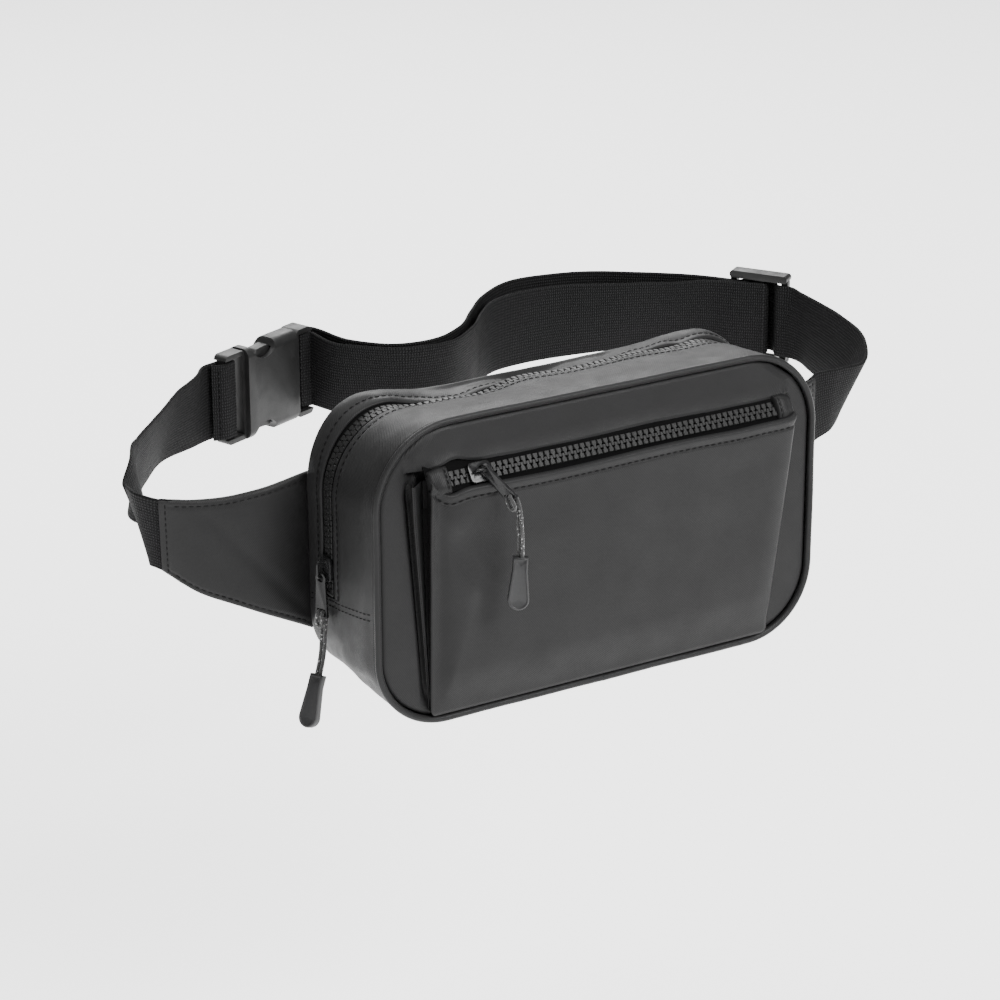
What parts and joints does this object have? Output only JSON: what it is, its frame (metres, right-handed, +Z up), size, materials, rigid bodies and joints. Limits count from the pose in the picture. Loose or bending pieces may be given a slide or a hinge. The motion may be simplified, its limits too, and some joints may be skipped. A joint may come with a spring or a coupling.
{
  "type": "waist pack",
  "caption": "Zipped waist pack with a rounded box body, front pocket, padded hip wings and a webbing belt closed by a side-release buckle.",
  "frame": {"origin": "middle of the back panel's outer face, the face that rests against the wearer", "axes": "+Y out of the back towards the wearer, +Z up as worn, +X towards the wing with the tri-glide end of the belt"},
  "size_m": [0.4047, 0.2647, 0.1483],
  "materials": {
    "shell_cloth": "matte coated",
    "lining_cloth": "matte",
    "foam": "closed cell foam",
    "piping": "matte coated",
    "zip_tape": "woven",
    "zip_teeth": "satin moulded",
    "slider_metal": "gloss black",
    "cord": "braided with pale flecks",
    "grip": "matte",
    "webbing": "ribbed weave",
    "hardware": "satin moulded"
  },
  "bodies": {
    "pack": {"back_foam": "foam", "back_panel": "shell_cloth", "bottom_gusset": "shell_cloth", "buckle_female": "hardware", "buckle_male": "hardware", "front_gusset": "shell_cloth", "front_panel": "shell_cloth", "left_strap": "webbing", "long_strap": "webbing", "main_zip_stop_left": "zip_teeth", "main_zip_stop_right": "zip_teeth", "main_zip_tape_front": "zip_tape", "main_zip_tape_rear": "zip_tape", "main_zip_teeth_front": "zip_teeth", "main_zip_teeth_rear": "zip_teeth", "piping_core": "foam", "piping_cover": "piping", "pocket_gusset_left": "shell_cloth", "pocket_gusset_right": "shell_cloth", "pocket_panel": "shell_cloth", "pocket_zip_end_tab_left": "shell_cloth", "pocket_zip_end_tab_right": "shell_cloth", "pocket_zip_tape_lower": "zip_tape", "pocket_zip_tape_upper": "zip_tape", "pocket_zip_teeth_lower": "zip_teeth", "pocket_zip_teeth_upper": "zip_teeth", "rear_gusset": "shell_cloth", "triglide": "hardware", "wing_back_left": "lining_cloth", "wing_back_right": "lining_cloth", "wing_foam_left": "foam", "wing_foam_right": "foam", "wing_front_left": "shell_cloth", "wing_front_right": "shell_cloth"},
    "main_slider": {"main_slider": "slider_metal"},
    "main_tab": {"main_pull_tab": "slider_metal"},
    "main_cord": {"main_pull_cord": "cord", "main_pull_grip": "grip"},
    "pocket_slider": {"pocket_slider": "slider_metal"},
    "pocket_tab": {"pocket_pull_tab": "slider_metal"},
    "pocket_cord": {"pocket_pull_cord": "cord", "pocket_pull_grip": "grip"},
    "prong_upper": {"buckle_prong_upper": "hardware"},
    "prong_lower": {"buckle_prong_lower": "hardware"}
  },
  "joints": [
    {"name": "main_slide", "type": "slide", "parent": "pack", "child": "main_slider", "axis": [0, 0, 1], "range_m": [-0.004, 0.027]},
    {"name": "main_tab_hinge", "type": "hinge", "parent": "main_slider", "child": "main_tab", "pos_m": [-0.1177, -0.021, -0.00785], "axis": [-0.4226, 0.9063, 0], "range_deg": [0, 95]},
    {"name": "main_cord_hinge", "type": "hinge", "parent": "main_tab", "child": "main_cord", "pos_m": [-0.1177, -0.021, -0.02755], "axis": [-0.4226, 0.9063, 0], "range_deg": [-3, 60]},
    {"name": "pocket_slide", "type": "slide", "parent": "pack", "child": "pocket_slider", "axis": [1, 0, 0], "range_m": [-0.003, 0.143]},
    {"name": "pocket_tab_hinge", "type": "hinge", "parent": "pocket_slider", "child": "pocket_tab", "pos_m": [-0.067, -0.07607, 0.0489], "axis": [-1, 0, 0], "range_deg": [0, 80]},
    {"name": "pocket_cord_hinge", "type": "hinge", "parent": "pocket_tab", "child": "pocket_cord", "pos_m": [-0.05805, -0.08379, 0.036], "axis": [-0.2192, 0.7626, -0.6086], "range_deg": [-25, 25]},
    {"name": "prong_upper_hinge", "type": "hinge", "parent": "pack", "child": "prong_upper", "pos_m": [-0.04163, 0.15781, 0.03], "axis": [0.3746, -0.9272, 0], "range_deg": [0, 7], "stiffness_Nm_per_rad": 0.6},
    {"name": "prong_lower_hinge", "type": "hinge", "parent": "pack", "child": "prong_lower", "pos_m": [-0.04163, 0.15781, 0.004], "axis": [0.3746, -0.9272, 0], "range_deg": [-7, 0], "stiffness_Nm_per_rad": 0.6}
  ],
  "couplings": [
    {"joint": "prong_lower_hinge", "follows": "prong_upper_hinge", "ratio": -1}
  ]
}
